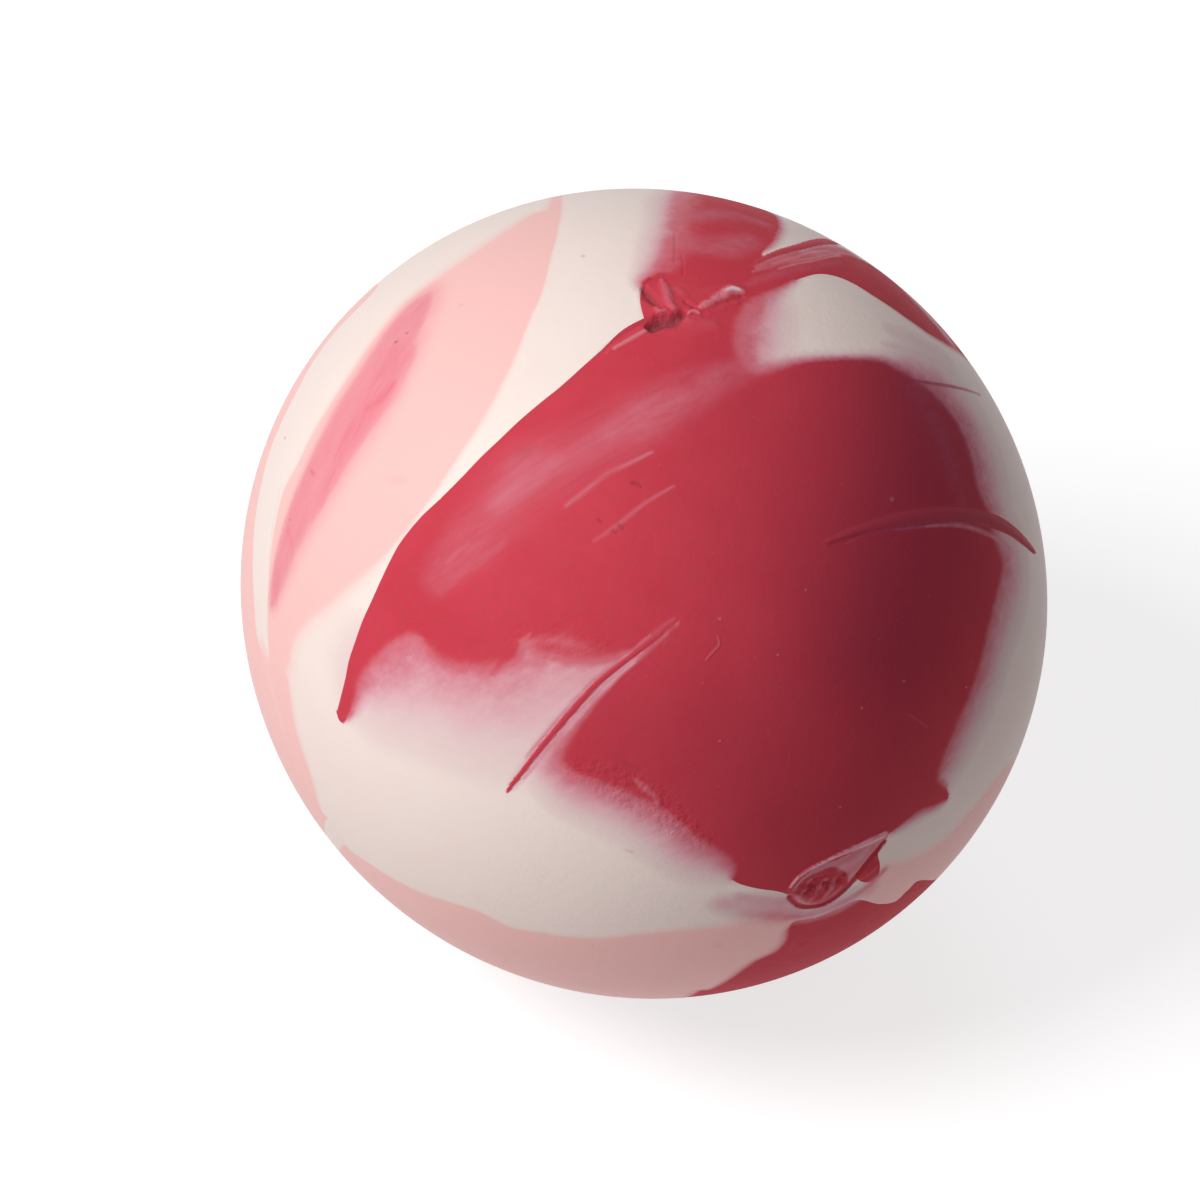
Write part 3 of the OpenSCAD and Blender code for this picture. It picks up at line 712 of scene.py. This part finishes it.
# A dark line runs across the haze at its right
mark([(900, 379, 2.4), (930, 383, 3), (954, 387, 3), (980, 395, 2.4)], film=(0.9, 0.6))
mark([(756, 302, 14), (742, 326, 18), (744, 356, 18)], film=(0.58, 0.6))
swirl_edge = outline([
    (676, 300), (648, 316), (634, 323), (620, 332), (600, 351), (580, 369), (560, 387), (540, 403),
    (520, 420), (500, 439), (480, 458), (462, 477), (440, 499), (420, 518), (400, 543), (390, 561),
    (380, 582), (371, 602), (362, 622), (355, 642), (349, 660), (345, 680), (340, 700),
    (337, 714), (342, 723), (350, 714, 9), (357, 697, 22), (363, 680, 42), (371, 667, 66),
    (383, 655, 92), (396, 644, 112), (412, 638, 122), (432, 640, 126), (455, 648, 126),
    (480, 650, 134), (505, 648, 136), (530, 642, 126), (556, 642, 106), (582, 647, 78),
    (606, 652, 50), (624, 654, 26), (645, 650, 12), (700, 606, 10), (760, 570, 10), (822, 542, 10),
    (874, 526, 8), (940, 516, 8), (990, 519, 44), (980, 490, 66), (972, 455, 76), (959, 424, 80),
    (941, 400, 72), (920, 382, 48), (900, 370, 26), (880, 361, 12), (840, 359, 9), (800, 362, 12),
    (776, 368, 22), (754, 370, 40), (744, 358, 52), (744, 340, 56), (746, 320, 54), (752, 302, 46),
    (738, 292, 20)
])
leaf("upper_sheet", "crimson_swirl", "crimson_rubber", swirl_edge, crimson_depth, (401, 836),
     film=1)

# The lower sheet's lower left was rolled up in wrinkles, with painted highlights on their ridges
# and painted shade in a hollow
mark([(572, 768, 14), (608, 780, 24), (652, 804, 28), (702, 842, 14)], rough=0.09, level=True)
mark([(574, 776, 4), (586, 780, 5), (598, 781, 4)], 0.02, wear=(0.9, 0.7))
mark([(612, 790, 4), (622, 797, 5), (630, 806, 4)], 0.02, wear=(0.9, 0.8))
mark([(636, 780, 4), (645, 788, 6), (654, 796, 5), (658, 806, 4)], 0.03, wear=(1.1, 0.8))
mark([(668, 812, 4), (678, 823, 5), (690, 833, 4)], 0.02, wear=(0.9, 0.7))
mark([(625, 763, 5), (632, 768, 7), (640, 771, 5)], -0.04, dark=(0.16, 1))
# Painted shade: the sheet and the haze beside it are darker toward the right and the bottom, away
# from the lamp
mark([(925, 410, 190), (900, 560, 190), (885, 640, 160)], deep=(1, 1))
mark([(760, 420, 150), (760, 560, 160), (780, 700, 160), (800, 820, 150), (860, 790, 140)],
     deep=(1, 0.26))
mark([(640, 740, 120), (760, 760, 130), (800, 800, 130), (880, 780, 110)], deep=(1, 0.28))


def speck(x, y, half, lift=0.0, **paint):
    mark([(x - 0.5, y, half), (x + 0.5, y, half)], lift, **paint)


# Painted highlights on creases that caught the light, and crumbs of pale rubber
mark([(718, 636, 1.6), (719, 645, 2.4), (713, 652, 2.4), (706, 660, 1.6)], 0.03, pale=(0.36, 0.8))
for x, y, half in [(720, 619, 3), (893, 500, 2), (851, 494, 2), (904, 681, 2.2), (966, 687, 2.6),
                   (840, 807, 3), (720, 741, 2.2), (862, 708, 2), (778, 655, 2), (806, 590, 1.8)]:
    speck(x, y, half, 0.03, pale=(0.42, 0.9))
# Another crease with a painted highlight
mark([(908, 714, 1.8), (918, 720, 2.4), (928, 727, 1.8)], 0.02, pale=(0.3, 0.8))
lobe_edge = outline([
    (700, 588, 10), (672, 636, 4), (656, 648, 4), (640, 660, 5), (622, 674, 7), (607, 690, 10),
    (591, 706, 16), (577, 723, 24), (565, 742, 32), (558, 761, 42), (574, 776, 50), (598, 785, 54),
    (622, 793, 56), (644, 803, 58), (664, 815, 58), (684, 830, 56), (702, 845, 52),
    (718, 854, 42), (733, 868, 22), (733, 880, 4), (750, 887), (775, 891), (790, 893, 2),
    (800, 880, 2), (818, 866, 2), (838, 859, 2), (856, 850, 2), (872, 841, 2), (890, 833, 6),
    (903, 824, 12), (920, 812, 14), (940, 804, 10), (948, 798, 4),
    (947, 789, 5), (940, 778, 20), (943, 763, 42), (950, 745, 48), (961, 720, 50), (972, 694, 52),
    (982, 665, 54), (989, 635, 56), (995, 610, 62), (1001, 586, 66), (1005, 564, 66),
    (999, 546, 50), (980, 505, 24), (940, 492, 20), (850, 512, 20), (780, 545, 20)
])
leaf("lower_sheet", "crimson_lobe", "crimson_rubber", lobe_edge, crimson_depth, (522, 957), film=1)

# The streams at the top
# Two narrower crimson streams ran from the gate, one straight over the top of the ball and one
# along the upper right rim, with cream showing between and below them.

stream_depth = 0.0036
# Two creases by the gate, darkened with painted shade, and scuffs where the stream was pressed
# against the mould
mark([(674.5, 232, 2), (675, 250, 2.6), (674, 262, 2)], -0.02, dark=(0.16, 0.9))
mark([(682, 254, 2), (683, 266, 2.4), (683, 276, 2)], -0.02, dark=(0.12, 0.8))
mark([(668, 268, 16), (680, 250, 26), (687, 224, 28), (690, 194, 26)], film=(0.62, 0.65))
mark([(690, 244, 26), (722, 246, 34), (752, 240, 20)], wear=(0.95, 0.9))
mark([(696, 216, 24), (730, 214, 26), (764, 224, 16)], wear=(0.95, 0.9))
cap_edge = outline([
    (642, 288, 8), (657, 268, 24), (673, 246, 36), (681, 226, 38), (685, 206, 40),
    (686, 192, 30), (664, 210, 20, True), (640, 262, 14, True), (632, 319, 14, True),
    (652, 375, 18, True), (692, 408, 18, True), (725, 383, 14, True), (757, 327, 10, True),
    (785, 270, 8, True), (781, 222, 8, True), (767, 210, 6), (777, 217, 8), (780, 228, 10),
    (773, 243, 8), (762, 254, 5), (768, 270, 5), (752, 300, 10), (690, 312, 4)
])
leaf("top_stream", "crimson_cap", "crimson_rubber", cap_edge, stream_depth, film=1)

# Below the rim stream crimson thins out to a haze over the cream, down to the right limb
mark([(748, 284, 6), (782, 272, 10), (812, 266, 10), (840, 262, 8)], wear=(0.6, 0.7))
mark([(868, 262, 20), (896, 283, 26), (922, 308, 30), (948, 338, 24)], film=(0.24, 0.85))
mark([(860, 266, 3), (882, 279, 4), (906, 300, 4), (932, 326, 4)], film=(0.7, 0.5))
mark([(890, 330, 14), (918, 342, 22), (948, 360, 20)], film=(0.15, 0.8))
mark([(884, 344, 5), (915, 352, 8), (952, 372, 8)], film=(0.17, 0.8))
band_edge = outline([
    (735, 290, 5), (742, 272, 5), (760, 262, 4), (786, 262, 3), (812, 259), (838, 254, 2),
    (862, 260, 3), (903, 290, 4, True), (943, 351, 5, True), (967, 391, 6, True),
    (979, 387, 6, True), (956, 350, 8), (934, 337, 7), (912, 322, 6), (892, 308, 5), (872, 295, 4),
    (856, 285, 3), (838, 277, 2), (820, 274), (802, 278, 3), (782, 287, 12), (765, 297, 26),
    (748, 309, 36)
])
leaf("rim_stream", "crimson_band", "crimson_rubber", band_edge, stream_depth, film=1)

# The stream underneath
# A crimson stream came round under the ball and stopped short of the knot, with a sharp front
# edge where the pink and cream rubber pushed back against it.

crescent_edge = outline([
    (793, 922, 3), (806, 919), (820, 916), (838, 908), (859, 900), (880, 904), (896, 901),
    (908, 890), (924, 880), (936, 862, 3, True), (915, 836, 8, True), (854, 836, 12, True),
    (781, 876, 14, True), (712, 933, 14, True), (668, 978, 10, True), (696, 993, 8), (709, 990, 8),
    (722, 984, 8), (740, 972, 9), (756, 961, 9), (775, 952, 9), (785, 941, 9), (788, 930, 7)
])
leaf("under_stream", "crimson_crescent", "crimson_rubber", crescent_edge, stream_depth, film=1)

# The pale pink panel and its rose vein
# A lump of pale pink rubber was squeezed out flat at the upper left, and a thread of rose rubber
# that had been rolled in with it runs along its outer edge.

vein_depth = 0.0016
# The vein is strongest in its upper middle, and there are a few specks on and beside it
mark([(402, 358, 24), (382, 391, 34), (362, 418, 28), (336, 452, 18)], rose=(1.18, 0.85))
mark([(394, 384, 7), (382, 398, 10), (368, 408, 7)], rose=(1.5, 0.6))
mark([(288, 530, 6), (292, 546, 6)], rose=(1.4, 0.8))
mark([(311, 471, 4), (314, 474, 4)], rose=(1.3, 0.8), dark=(0.16, 0.8))
for x, y, half, tone in [(407, 333, 2.6, 0.5), (396, 342, 2.8, 0.6), (285, 438, 2.2, 0.5),
                         (461, 305, 3, 0.18), (583, 256, 3, 0.4), (290, 520, 1.8, 0.4)]:
    speck(x, y, half, dark=(tone, 0.9))
mark([(394, 480, 7), (403, 480, 7)], dark=(0.09, 0.9))
vein_edge = outline([
    (431, 291, 26), (412, 302, 22), (396, 318, 18), (378, 342, 16), (360, 369, 14), (342, 396, 13),
    (326, 425, 12), (312, 453, 10), (300, 480, 9), (289, 508, 8), (279, 540, 7), (272, 575, 7),
    (270, 606, 10), (276, 606, 14), (286, 582, 18), (297, 556, 20), (312, 527, 22), (330, 496, 24),
    (350, 463, 26), (371, 433, 27), (390, 401, 28), (406, 369, 28), (420, 334, 28), (432, 306, 28)
])
leaf("vein", "rose_vein", "rose_rubber", vein_edge, vein_depth, rose=1)

pink_depth = 0.003
# A grey line of painted shade runs down the panel's outer edge, in the shallow groove where the two
# halves of the mould met
mark([(281, 486, 2), (274, 516, 2.6), (270, 550, 3), (268, 590, 3), (267, 640, 3)], -0.02,
     dark=(0.10, 0.9))
panel_edge = outline([
    (562, 206, 6), (558, 230, 6), (553, 250, 6), (543, 290, 6), (530, 320, 6), (515, 358, 7),
    (498, 393, 8), (480, 425, 8), (462, 452, 8), (441, 484, 7), (415, 520, 8), (392, 548, 10),
    (372, 569, 14), (350, 588, 18), (328, 608, 20), (307, 625, 22), (294, 644, 22), (288, 670, 22),
    (272, 672, 8), (268, 630, 4), (268, 595, 4), (270, 560, 4), (275, 525, 5), (284, 490, 6),
    (298, 463, 6), (311, 436, 7), (329, 406, 9), (349, 375, 11), (373, 340, 14), (400, 308, 18),
    (430, 283, 22), (465, 258, 24), (500, 234, 22), (530, 215, 18), (548, 206, 12),
    (556, 201, 6, True), (566, 203, 6, True)
])
rubber("pink_rubber", 0.50, 0.25, 0.05)
leaf("pink_sheet", "pink_panel", "pink_rubber", panel_edge, pink_depth, (563, 917), pink=1)

# The pale pink rim, keel and flank
# More pale pink rubber lies round the left side and the underside of the ball. Its front edge is
# the thin pink line inside the left limb, and it fades to lilac where it nears the knot.

rim_edge = outline([
    (378, 284, 4), (366, 300, 4), (335, 332, 4), (313, 362, 4), (296, 393, 5), (278, 430, 5),
    (268, 457, 5), (261, 486, 5), (255, 520, 5), (253, 550, 5), (254, 600, 6), (258, 640, 10),
    (272, 662, 14), (286, 672, 14), (291, 696, 14), (295, 724, 14), (303, 752, 13), (312, 778, 12),
    (317, 798, 8), (322, 812, 5), (326, 820, 3), (331, 829, 3, True), (320, 735, 20, True),
    (300, 615, 20, True), (312, 490, 20, True), (345, 400, 16, True), (368, 310, 8, True)
])
leaf("pink_rim_sheet", "pink_rim", "pink_rubber", rim_edge, pink_depth, pink=1)
# The rim is palest where the vein ends, and there are a few specks by the keel
mark([(262, 640, 16), (272, 690, 18), (284, 730, 14)], pink=(0.6, 0.7))
keel_edge = outline([
    (342, 846, 6), (352, 852, 6), (370, 864, 6), (390, 877, 7), (420, 892, 7), (450, 902, 7),
    (480, 912, 7), (510, 927, 8), (538, 932, 8), (562, 936, 8), (600, 938, 9), (640, 934, 10),
    (680, 930, 13), (722, 926, 20), (756, 920, 28), (790, 922, 28), (800, 950, 20, True),
    (725, 958, 20, True), (604, 941, 20, True), (498, 917, 18, True), (409, 877, 14, True),
    (362, 855, 8, True)
])
leaf("pink_keel_sheet", "pink_keel", "pink_rubber", keel_edge, pink_depth, pink=1)
mark([(626, 850, 2.4), (632, 852, 3)], dark=(0.22, 0.9))
mark([(714, 945, 3), (718, 945, 3)], dark=(0.16, 0.9))
flank_edge = outline([
    (1010, 763, 12), (988, 790, 16), (967, 815, 18), (948, 836, 18), (925, 852, 20), (902, 862, 22),
    (882, 866, 22), (870, 884, 18), (866, 906, 8), (907, 901, 6), (931, 873, 6, True),
    (967, 820, 10, True), (996, 780, 10, True), (1010, 758, 8, True)
])
leaf("pink_flank_sheet", "pink_flank", "pink_rubber", flank_edge, pink_depth, pink=1)

# The cream body
# Cream rubber is the bulk of the ball. It fills the space between the coloured portions, and each
# of them is seated in a pocket of it.

claimed = skin.claim
pair = np.stack([skin.tris.ravel(), np.repeat(claimed, 3)], axis=1)
pair, which = np.unique(pair, axis=0, return_inverse=True)
levels = np.full(len(pair), ball_r)
for number in undersides:
    rows = pair[:, 1] == number
    levels[rows] = underside(number, skin.at[pair[rows, 0]])
# Neighbouring pockets of one depth share their floor's corners
key = np.stack([pair[:, 0], np.round(levels * 1e7).astype(int)], axis=1)
key, first, merged = np.unique(key, axis=0, return_index=True, return_inverse=True)
node_of = merged.ravel()[which.ravel()].reshape(-1, 3)
cream_rows, cream_levels = key[:, 0], levels[first]
stack_of = {}
for index, (corner, level) in enumerate(key):
    stack_of.setdefault(corner, []).append((level, index))
own = {}
for tri, nodes, has in zip(skin.tris, node_of, claimed):
    for k in range(3):
        own[tri[k], tri[(k + 1) % 3]] = (nodes[k], nodes[(k + 1) % 3], has)


def rung(corner, start, end):
    """Corners of the cream on one ray, from start to end."""
    levels_here = sorted(stack_of[corner])
    order = [index for _, index in levels_here]
    i, j = order.index(start), order.index(end)
    return order[i:j + 1] if i <= j else order[j:i + 1][::-1]


walls = []
for (a, b), (a_here, b_here, has) in own.items():
    a_there, b_there, other = own[b, a][1], own[b, a][0], own[b, a][2]
    if has > other:
        wall = rung(b, b_there, b_here) + rung(a, a_here, a_there)
        wall = [v for k, v in enumerate(wall) if v != wall[k - 1]]
        if len(wall) > 2:
            walls.append(wall)
outside = claimed < 0
faces = node_of[outside].tolist() + node_of[~outside].tolist() + walls
rubber("cream_rubber", 0.50, 0.25, 0.0)
build("cream_mass", "cream_body", "cream_rubber", faces, skin.at[cream_rows], cream_levels,
      cream_rows, outside.sum())

# How the colours run into each other
# Crimson that was smeared over cream thins toward its edge. Each outline's third number is how
# far its colour runs out there, and the marks add to it or take from it.

# How far back inside its outline a colour starts to thin, as a share of how far it runs out
inward = {"film": 0.5, "pink": 0.8, "rose": 1.3}
most_inward = 15 * px
# Up to this many pixels an edge is crisp, and it is fully soft this many further on
crisp_px, soft_px = 2, 5
# The last trace of a colour is this much further out than the outline says
last_trace = 1.15


def spread(edge, at, inward):
    """How much of a colour lies at each direction: 1 inside its outline, 0 where it has run out."""
    way, run = edge
    outward = unit(np.cross(np.roll(way, -1, axis=0) - np.roll(way, 1, axis=0), way))
    farthest = run.max() * 1.2
    far, _, side, found = nearest(edge, at, reach=farthest)
    amount = np.where(side > 0, 1.0, 0.0)
    rows = np.flatnonzero(far < farthest)
    soft = np.clip((run / px - crisp_px) / soft_px, 0, 1) * 0.5
    reach_in = np.minimum(inward * run, most_inward)
    for part in np.array_split(rows, max(1, len(rows) // 8000)):
        gap = np.sqrt(np.maximum(2 - 2 * at[part] @ way.T, 1e-12))
        # Colour runs straight out from the outline, and not round its corners
        ahead = 3 * (at[part] @ outward.T / gap)
        outer = soft * np.clip(1 - gap / (last_trace * run), 0, 1) ** 1.25 * np.clip(ahead, 0, 1)
        inner = soft * np.clip(1 - gap / reach_in, 0, 1) ** 2 * np.clip(-ahead, 0, 1)
        close = soft[found[part]] * np.clip(1 - far[part] / (crisp_px * px), 0, 1)
        outer, inner = [np.maximum(layer.max(axis=1), close) for layer in (outer, inner)]
        amount[part] = np.where(side[part] > 0, 1 - inner, outer)
    return amount


def stroke(line, at, level):
    """Rows of at that a mark touches, and its weight: 1 in its middle, 0 at its half width."""
    far, _, _, found = nearest(line, at, closed=False, reach=line[1].max() * 1.1)
    rows = np.flatnonzero(far < line[1][found])
    share = 1 - (far[rows] / line[1][found[rows]]) ** 2
    return rows, np.clip(level * share, 0, 1) ** 2


def colours(at):
    """The fields that the rubber's material reads, at each direction."""
    fields = {name: np.zeros(len(at)) for name in ("wear", "deep", "pale", "dark", "rough")}
    for field, names in covers.items():
        layers = [share * spread(outlines[name], at, inward[field])
                  for name, share in names.items()]
        fields[field] = np.max(layers, axis=0)
    for line, _, _, level, paint in marks:
        if paint:
            rows, weight = stroke(line, at, level)
            for field, (value, strength) in paint.items():
                fields[field][rows] += (value - fields[field][rows]) * strength * weight
    return fields


# The closed mould
# The mould gives every portion its share of the one skin: the stub, the lips and the folds stand
# up from it, and the moulding is a little out of true, as a ball that shrank on cooling is.

height = np.zeros(len(skin.at))
# Fine crumpling is left to the material, which has it finer than the net of triangles
coarse_rough, crumple_scale = 0.00009, 40
for line, lift, rough, _, _ in marks:
    rows, weight = stroke(line, skin.at, 1.0)
    height[rows] += lift * weight
    if rough > coarse_rough:
        crumple = [noise.fractal(Vector(at * crumple_scale), 0.8, 2.1, 3) for at in skin.at[rows]]
        height[rows] += rough * weight ** 0.5 * np.array(crumple)
radius = ball_r + height


def out_of_round(points):
    """The same points, after the ball has shrunk to its own shape."""
    return points + stretch * ((points @ long_side)[:, None] * long_side
                               - (points @ short_side)[:, None] * short_side)


grown = out_of_round(skin.at * radius[:, None])
face_a, face_b, face_c = [grown[skin.tris[:, k]] for k in range(3)]
normal = np.zeros_like(skin.at)
for k in range(3):
    np.add.at(normal, skin.tris[:, k], np.cross(face_b - face_a, face_c - face_a))
normal = unit(normal)
skin_colours = colours(skin.at)

# Colours are read this share of the way into the piece, so that a sharp edge is sharp
hair_share = 0.02
for mesh, rows, reach, outer in made:
    outside = reach > ball_r - 1e-9
    index = rows if len(rows) == len(mesh.vertices) else np.tile(rows, 2)
    far = np.where(outside, radius[index], reach)
    mesh.vertices.foreach_set("co", out_of_round(skin.at[index] * far[:, None]).ravel())
    corners = np.zeros(len(mesh.loops), int)
    mesh.loops.foreach_get("vertex_index", corners)
    centre = np.zeros((len(far), 3))
    count = np.zeros(len(far))
    tris = corners[:3 * outer].reshape(-1, 3)
    middle = skin.at[index[tris]].mean(axis=1)
    for k in range(3):
        np.add.at(centre, tris[:, k], middle)
        np.add.at(count, tris[:, k], 1)
    used = count > 0
    hair = skin.at[index].copy()
    hair[used] += hair_share * (centre[used] / count[used][:, None] - hair[used])
    values = {name: field[index].copy() for name, field in skin_colours.items()}
    rim = np.zeros(len(far), bool)
    rim_pairs = np.sort(border(tris), axis=1)
    rim[rim_pairs.ravel()] = True
    for name, field in colours(unit(hair[rim])).items():
        values[name][rim] = field
    for name, field in values.items():
        mesh.attributes.new(name, "FLOAT", "POINT").data.foreach_set("value", field)
    # Sharp along the rim, with the skin's own normals outside it
    pairs = np.zeros(2 * len(mesh.edges), int)
    mesh.edges.foreach_get("vertices", pairs)
    pairs = np.sort(pairs.reshape(-1, 2), axis=1)
    size = len(far)
    sharp = np.isin(pairs[:, 0] * size + pairs[:, 1], rim_pairs[:, 0] * size + rim_pairs[:, 1])
    mesh.attributes.new("sharp_edge", "BOOLEAN", "EDGE").data.foreach_set("value", sharp)
    own_normals = np.zeros((len(corners), 3))
    own_normals[:3 * outer] = normal[index[corners[:3 * outer]]]
    mesh.normals_split_custom_set(own_normals)
    mesh.update()

# The studio
# A pale floor under the ball, one large soft lamp from the upper left and an even dim room.

bpy.context.scene.view_settings.view_transform = "Standard"

floor_mesh = bpy.data.meshes.new("floor")
floor_r, floor_sides = 3.0, 64
turns = [2 * math.pi * i / floor_sides for i in range(floor_sides)]
ring = [(floor_r * math.cos(turn), floor_r * math.sin(turn), -ball_r) for turn in turns]
floor_mesh.from_pydata(ring, [], [list(range(floor_sides))])
floor = bpy.data.objects.new("floor", floor_mesh)
bpy.context.collection.objects.link(floor)


def seen_directly(tree):
    """1 for rays that show the background itself: from the camera, in gloss and through glass."""
    ray = add_node(tree, "LightPath").outputs
    first = add_node(tree, "Math", operation="MAXIMUM",
                     inputs={0: ray["Is Camera Ray"], 1: ray["Is Glossy Ray"]})
    return add_node(tree, "Math", operation="MAXIMUM",
                    inputs={0: first.outputs[0], 1: ray["Is Transmission Ray"]}).outputs[0]


# The floor's own colour lights the ball from below, and its glow shows only as background
white = bpy.data.materials.new("floor")
white.use_nodes = True
tree = white.node_tree
tree.nodes.clear()
matt = add_node(tree, "BsdfDiffuse", inputs={"Color": (0.70, 0.67, 0.67, 1)})
pale = add_node(tree, "BsdfDiffuse", inputs={"Color": (0.42, 0.42, 0.42, 1)})
glow = add_node(tree, "Emission", inputs={"Color": (1, 1, 1, 1), "Strength": 0.74})
both = add_node(tree, "AddShader", inputs={0: pale.outputs[0], 1: glow.outputs[0]})
pick = add_node(tree, "MixShader", inputs={0: seen_directly(tree), 1: matt.outputs[0],
                                           2: both.outputs[0]})
add_node(tree, "OutputMaterial", inputs={0: pick.outputs[0]})
floor_mesh.materials.append(white)

world = bpy.data.worlds.new("room")
bpy.context.scene.world = world
world.use_nodes = True
tree = world.node_tree
tree.nodes.clear()
room = add_node(tree, "Background", inputs={"Color": (1.0, 0.87, 0.93, 1), "Strength": 0.18})
backdrop = add_node(tree, "Background", inputs={"Color": (1, 1, 1, 1), "Strength": 1.0})
pick = add_node(tree, "MixShader", inputs={0: seen_directly(tree), 1: room.outputs[0],
                                           2: backdrop.outputs[0]})
add_node(tree, "OutputWorld", inputs={0: pick.outputs[0]})


def facing(place, back):
    """Matrix of something at a place whose own -Z looks away from back."""
    back = unit(np.array(back))
    right = unit(np.cross(face_up, back))
    up = np.cross(back, right)
    return Matrix([[*row, where] for row, where in zip(np.stack([right, up, back], axis=1), place)]
                  + [[0, 0, 0, 1]])


lamp_distance, lamp_size, lamp_power, over_power = 0.5, 0.27, 2.38, 0.24
lamp_side = unit(-0.539 * face_right + 0.342 * face_up + 0.77 * face_out)
over_side = unit(0.1 * face_right + 0.95 * face_up + 0.28 * face_out)
for name, side, power in [("soft_lamp", lamp_side, lamp_power),
                          ("top_lamp", over_side, over_power)]:
    light = bpy.data.lights.new(name, "AREA")
    light.shape, light.size, light.energy = "DISK", lamp_size, power
    lamp = bpy.data.objects.new(name, light)
    bpy.context.collection.objects.link(lamp)
    lamp.matrix_world = facing(side * lamp_distance, side)

eye = bpy.data.cameras.new("camera")
eye.sensor_width = 36
focus_px = radius_px / math.tan(math.asin(ball_r / eye_distance))
eye.lens = focus_px * eye.sensor_width / picture_px
eye.clip_start, eye.clip_end = 0.1, 10
camera = bpy.data.objects.new("camera", eye)
bpy.context.collection.objects.link(camera)
aside, below = [(place - picture_px / 2) / focus_px for place in (middle_x, middle_y)]
turn = aside * face_right - below * face_up
camera.matrix_world = facing(face_out * eye_distance, face_out + turn)
bpy.context.scene.camera = camera
